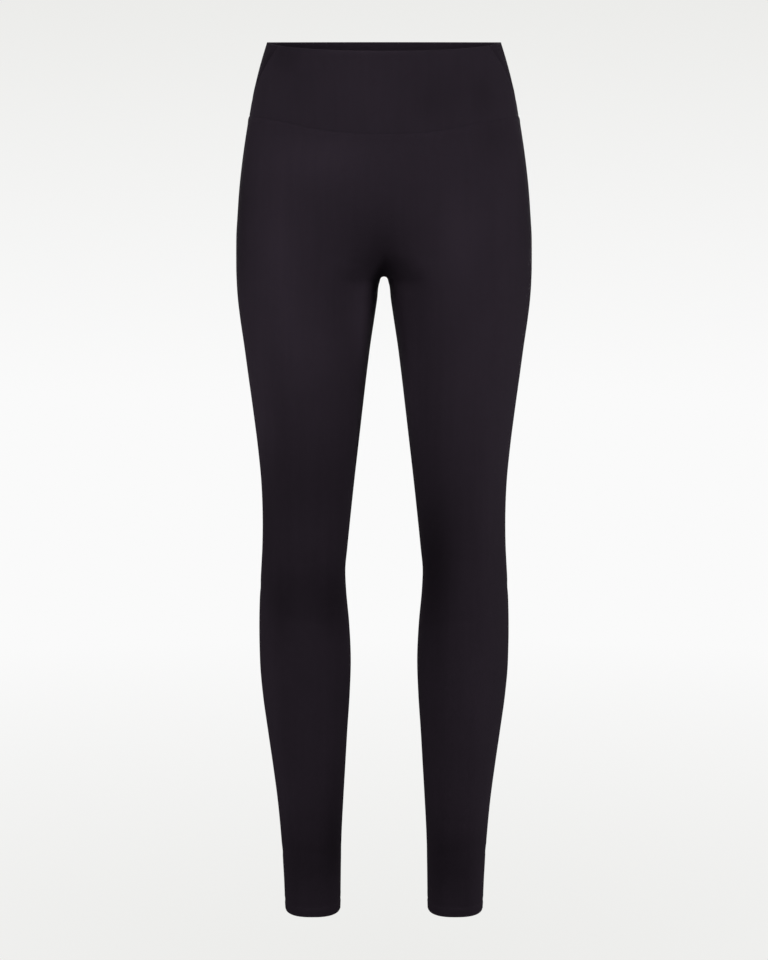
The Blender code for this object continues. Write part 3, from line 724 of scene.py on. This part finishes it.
# ---- Materials ----------------------------------------------------------------------------------
JERSEY_COLOUR = (0.0288, 0.0218, 0.0307)
BAND_COLOUR = (0.0284, 0.0216, 0.0303)
THREAD_COLOUR = (0.0282, 0.0215, 0.0301)
WALE = 0.00078            # width of a column of knit loops
COURSE = 0.00056          # height of a row of knit loops
LOOP_LEAN = 0.9           # how far a loop's legs lean, in rows
KNIT_HEIGHT = 0.00017
COLUMN_SWELL = 0.6        # height of a column's rounding, as a share of the knit's
LEG_SWELL = 0.4           # and of the two legs on it
LOOP_SWELL = 0.25         # share of that height that comes and goes with each loop
PAINTED_HOLLOW_SHADE = 0.77      # the colour's strength in the hollows of the knit, darkened as painted shade
PAINTED_CROWN_LIGHT = 0.50        # and how much stronger it is on the crowns, as painted light
ROUGHNESS, ROUGHNESS_SPREAD = 0.75, 0.08

# Unevenness of the cloth. along under 1 draws the noise out along the wales, and over 1 presses
# it together. share is how much it lightens and darkens the cloth.
Mottle = namedtuple("Mottle", "along scale detail share")
YARN = Mottle(2.2, 620.0, 3.0, 0.16)
STREAK = Mottle(0.06, 130.0, 2.0, 0.06)
CLOUD = Mottle(1.0, 24.0, 2.0, 0.05)

PLY_SCALE, PLY_DISTORTION = 900.0, 1.5    # twist of the sewing thread
PLY_PAINTED_SHADE, PLY_PAINTED_LIGHT = 0.85, 0.30       # the colour's strength between plies, darkened as painted shade, and more on them as painted light
PLY_HEIGHT, PLY_RELIEF = 0.00006, 0.6


class Graph:
    """A material's nodes, added and linked in one call each."""

    def __init__(self, name):
        self.material = bpy.data.materials.new(name)
        self.material.use_nodes = True
        self.tree = self.material.node_tree

    def add(self, kind, inputs=(), **settings):
        """A node of a kind, with its settings, and its inputs linked or set by place or name."""
        node = self.tree.nodes.new("ShaderNode" + kind)
        for name, value in settings.items():
            setattr(node, name, value)
        pairs = inputs.items() if isinstance(inputs, dict) else enumerate(inputs)
        for key, value in pairs:
            self.put(node, key, value)
        return node

    def put(self, node, key, value):
        """Link a socket to a node's input, or set that input to a value."""
        if isinstance(value, bpy.types.NodeSocket):
            self.tree.links.new(value, node.inputs[key])
        else:
            node.inputs[key].default_value = value

    def math(self, operation, *terms):
        """Result of a Math node on sockets or numbers."""
        return self.add("Math", terms, operation=operation).outputs[0]

    def noise(self, place, kind):
        """Noise of a kind of Mottle, which runs from about -1 to 1."""
        drawn = self.add("VectorMath", [place, (1.0, kind.along, 1.0)], operation="MULTIPLY")
        node = self.add("TexNoise", {"Vector": drawn.outputs[0], "Scale": kind.scale,
                                     "Detail": kind.detail})
        return self.math("MULTIPLY_ADD", node.outputs["Fac"], 2.0, -1.0)


def cloth_material(name, colour):
    """Fine jersey: columns of knit loops with painted shade between them, uneven yarn, soft streaks,
    matte fibres and painted light and shade.
    """
    graph = Graph(name)
    cloth = graph.add("Attribute", attribute_name="cloth").outputs["Vector"]
    axes = graph.add("SeparateXYZ", [cloth])
    wale = graph.math("DIVIDE", axes.outputs["X"], WALE)
    course = graph.math("DIVIDE", axes.outputs["Y"], COURSE)
    leg = graph.math("PINGPONG", wale, 0.5)
    row = graph.math("MULTIPLY_ADD", leg, LOOP_LEAN, course)
    loop = graph.math("SINE", graph.math("MULTIPLY", row, 2 * math.pi))
    column = graph.math("SINE", graph.math("MULTIPLY", leg, math.pi))
    legs = graph.math("SINE", graph.math("MULTIPLY", leg, 2 * math.pi))
    legs = graph.math("MULTIPLY", legs, LEG_SWELL)
    rib = graph.math("MULTIPLY_ADD", column, COLUMN_SWELL, legs)
    loop = graph.math("MULTIPLY_ADD", loop, LOOP_SWELL, 1 - LOOP_SWELL)
    knit = graph.math("MULTIPLY", rib, loop)

    yarn = graph.noise(cloth, YARN)
    tone = graph.math("MULTIPLY_ADD", yarn, YARN.share, 1.0)
    for kind in (STREAK, CLOUD):
        tone = graph.math("MULTIPLY_ADD", graph.noise(cloth, kind), kind.share, tone)
    # painted shade in the knit's hollows and painted light on its crowns
    knit_shade = graph.math("MULTIPLY_ADD", knit, PAINTED_CROWN_LIGHT, PAINTED_HOLLOW_SHADE)
    tone = graph.math("MULTIPLY", tone, knit_shade)
    # painted light and shade, from the shells' points
    painted_light_share = graph.add("Attribute", attribute_name="painted_light").outputs["Fac"]
    tone = graph.math("MULTIPLY", tone, graph.math("ADD", painted_light_share, 1.0))
    paint = graph.add("VectorMath", {"Vector": colour, "Scale": tone}, operation="SCALE")
    bump = graph.add("Bump", {"Height": knit, "Distance": KNIT_HEIGHT, "Strength": 1.0})
    shader = graph.tree.nodes["Principled BSDF"]
    graph.put(shader, "Base Color", paint.outputs[0])
    graph.put(shader, "Roughness",
              graph.math("MULTIPLY_ADD", yarn, ROUGHNESS_SPREAD, ROUGHNESS))
    graph.put(shader, "Normal", bump.outputs[0])
    graph.put(shader, "Specular IOR Level", 0.02)
    graph.put(shader, "Sheen Weight", 0.01)
    graph.put(shader, "Sheen Roughness", 0.5)
    graph.put(shader, "Sheen Tint", (1.0, 0.78, 1.0, 1.0))
    return graph.material


def thread_material():
    """Sewing thread: plies twisted round each other, a little glossier than the cloth."""
    graph = Graph("thread")
    place = graph.add("TexCoord").outputs["Object"]
    twist = graph.add("TexWave", {"Vector": place, "Scale": PLY_SCALE,
                                  "Distortion": PLY_DISTORTION}, bands_direction="DIAGONAL")
    # painted shade between the plies and painted light on them
    tone = graph.math("MULTIPLY_ADD", twist.outputs["Fac"], PLY_PAINTED_LIGHT, PLY_PAINTED_SHADE)
    paint = graph.add("VectorMath", {"Vector": THREAD_COLOUR, "Scale": tone}, operation="SCALE")
    bump = graph.add("Bump", {"Height": twist.outputs["Fac"], "Distance": PLY_HEIGHT,
                              "Strength": PLY_RELIEF})
    shader = graph.tree.nodes["Principled BSDF"]
    graph.put(shader, "Base Color", paint.outputs[0])
    graph.put(shader, "Roughness", 0.6)
    graph.put(shader, "Normal", bump.outputs[0])
    graph.put(shader, "Specular IOR Level", 0.10)
    return graph.material


# ---- The pieces ---------------------------------------------------------------------------------
jersey = cloth_material("jersey", JERSEY_COLOUR)
band_jersey = cloth_material("band_jersey", BAND_COLOUR)
thread = thread_material()
front_patch, back_patch = leg_patch(FRONT), leg_patch(BACK)
front_band = band_patch(lambda h: -slant(h), slant, 2 * SLANT_FOOT)
back_band = band_patch(slant, lambda h: FULL_TURN - slant(h), FULL_TURN - 2 * SLANT_FOOT)
front = shell("front_cloth", [front_patch, mirrored(front_patch)], jersey, "front", PAINTED_SPOTS)
back_left = shell("back_left_cloth", [back_patch], jersey, "back_left", PAINTED_SPOTS)
back_right = shell("back_right_cloth", [mirrored(back_patch)], jersey, "back_right", PAINTED_SPOTS)
band_front = shell("waistband_front_cloth", [front_band], band_jersey, "waistband_front",
                   BAND_FRONT_PAINTED_SPOTS)
band_back = shell("waistband_back_cloth", [back_band], band_jersey, "waistband_back",
                  BAND_BACK_PAINTED_SPOTS)
for name, side in (("left", 1), ("right", -1)):
    path, normals = hem_line(HEM_TURN, side)
    stitches("hem_stitches_" + name, path, normals, HEM_STITCH, thread)

# ---- Studio -------------------------------------------------------------------------------------
scene = bpy.context.scene
scene.view_settings.view_transform = "Standard"
FLOOR = -1.02                       # height of the floor, a little below the hems
FLOOR_FLAT, WALL_BEND = 4.0, 3.0    # radius of the flat floor, and of the bend into the wall
WALL_TOP = 5.0
FLOOR_RINGS, BEND_RINGS, WALL_RINGS, ROUND_STEPS = 30, 24, 6, 96
PAINTED_SHADE_LEVEL = (236, 236, 234)        # the backdrop's screen levels in its painted shadow by the garment and painted shade up the wall
FAR_LEVEL = (250, 250, 250)         # and far from it
PAINTED_SHADOW_RADIUS = 2.2                    # how far out the floor has a painted shadow round the garment
PAINTED_WALL_SHADE = (-0.86, 0.12)            # heights between which painted shade makes the wall dimmer


def linear(level):
    """Linear value of an 8-bit screen level."""
    share = level / 255
    return ((share + 0.055) / 1.055) ** 2.4


def backdrop_material():
    """Pale paper that glows, with a painted shadow on the floor round the garment and painted shade
    higher up the wall.
    """
    graph = Graph("backdrop")
    place = graph.add("TexCoord").outputs["Object"]
    flat = graph.add("VectorMath", [place, (1.0, 1.0, 0.0)], operation="MULTIPLY").outputs[0]
    radius = graph.add("VectorMath", [flat], operation="LENGTH").outputs["Value"]
    height = graph.add("SeparateXYZ", [place]).outputs["Z"]
    floor = graph.add("MapRange", [radius, 0.0, PAINTED_SHADOW_RADIUS, 0.0, 1.0]).outputs[0]
    wall = graph.add("MapRange", [height, *PAINTED_WALL_SHADE, 1.0, 0.0]).outputs[0]
    ramp = graph.add("ValToRGB", [graph.math("MINIMUM", floor, wall)])
    for stop, level in zip(ramp.color_ramp.elements, (PAINTED_SHADE_LEVEL, FAR_LEVEL)):
        stop.color = (*(linear(value) for value in level), 1)
    emission = graph.add("Emission", {"Color": ramp.outputs["Color"]})
    output = graph.tree.nodes["Material Output"]
    graph.tree.nodes.remove(graph.tree.nodes["Principled BSDF"])
    graph.put(output, "Surface", emission.outputs[0])
    return graph.material


def backdrop():
    """A pale floor that curves up into a pale wall all round, seen but giving no light."""
    profile = [(r, FLOOR) for r in np.linspace(0.0, FLOOR_FLAT, FLOOR_RINGS)]
    profile += [(FLOOR_FLAT + WALL_BEND * math.sin(a), FLOOR + WALL_BEND * (1 - math.cos(a)))
                for a in np.linspace(0, math.pi / 2, BEND_RINGS)[1:]]
    profile += [(FLOOR_FLAT + WALL_BEND, z)
                for z in np.linspace(FLOOR + WALL_BEND, WALL_TOP, WALL_RINGS)[1:]]
    angles = np.arange(ROUND_STEPS) * 2 * math.pi / ROUND_STEPS
    points = [(0, 0, FLOOR)]
    points += [(r * math.cos(a), r * math.sin(a), z) for r, z in profile[1:] for a in angles]
    faces = [(0, 1 + k, 1 + (k + 1) % ROUND_STEPS) for k in range(ROUND_STEPS)]
    for ring in range(len(profile) - 2):
        base = 1 + ring * ROUND_STEPS
        above = base + ROUND_STEPS
        for k in range(ROUND_STEPS):
            n = (k + 1) % ROUND_STEPS
            faces.append((base + k, above + k, above + n, base + n))
    mesh = bpy.data.meshes.new("backdrop")
    mesh.from_pydata(points, [], faces)
    mesh.shade_smooth()
    mesh.materials.append(backdrop_material())
    obj = bpy.data.objects.new("backdrop", mesh)
    scene.collection.objects.link(obj)
    for ray in ("diffuse", "glossy", "transmission", "shadow", "volume_scatter"):
        setattr(obj, "visible_" + ray, False)


# azimuth is in degrees: 0 stands in front of the garment and 90 on the wearer's left. aim is the
# height on the garment's axis that the light faces. power is in watts: the powers of the lights
# in front and at the sides were fitted to the photo's shading, and then changed.
Softbox =namedtuple("Softbox", "name azimuth distance height aim width tall power")
SOFTBOXES = (
    Softbox("key_right", -40, 2.2, 1.0, -0.30, 0.9, 1.2, 13.2),
    Softbox("key_left", 40, 2.2, 1.0, -0.30, 0.9, 1.2, 3.6),
    Softbox("front_right", -30, 1.3, -0.1, -0.35, 0.5, 0.5, 2.2),
    Softbox("side_right", -70, 1.3, -0.1, -0.35, 0.5, 0.5, 2.6),
    Softbox("side_left", 55, 1.3, -0.1, -0.35, 0.5, 0.5, 6.6),
    Softbox("low_rear", 110, 1.3, -0.75, -0.80, 0.5, 0.5, 2.8),
    Softbox("rear_key", 180, 2.0, 1.5, -0.35, 1.8, 1.0, 34.0),
    Softbox("rear_low", 180, 1.5, -0.2, -0.75, 1.4, 0.4, 5.0),
    Softbox("top", 180, 0.1, 1.6, -0.30, 0.5, 0.5, 3.5),
)
AMBIENT = 0.15


def hang_softbox(box):
    """A rectangular light that faces the garment."""
    light =bpy.data.lights.new(box.name, "AREA")
    light.shape = "RECTANGLE"
    light.size, light.size_y, light.energy = box.width, box.tall, box.power
    obj = bpy.data.objects.new(box.name, light)
    azimuth = math.radians(box.azimuth)
    obj.location = (box.distance * math.sin(azimuth), -box.distance * math.cos(azimuth),
                    box.height)
    sight = Vector((0, 0, box.aim)) - obj.location
    obj.rotation_euler = sight.to_track_quat("-Z", "Y").to_euler()
    scene.collection.objects.link(obj)


backdrop()
world = bpy.data.worlds.new("studio")
world.use_nodes = True
world.node_tree.nodes["Background"].inputs["Color"].default_value = (1, 1, 1, 1)
world.node_tree.nodes["Background"].inputs["Strength"].default_value = AMBIENT
scene.world = world
for box in SOFTBOXES:
    hang_softbox(box)

# ---- Camera -------------------------------------------------------------------------------------
CAMERA_DISTANCE = 4.0               # in front of the waist opening, and level with it
CAMERA_DIP = 6.83                   # how far it looks down, in degrees
LENS, SENSOR = 137.14, 36           # mm
camera = bpy.data.objects.new("camera", bpy.data.cameras.new("camera"))
camera.data.lens = LENS
camera.data.sensor_width = SENSOR
camera.location = (0, -CAMERA_DISTANCE, 0)
camera.rotation_euler = (math.radians(90 - CAMERA_DIP), 0, 0)
scene.collection.objects.link(camera)
scene.camera = camera
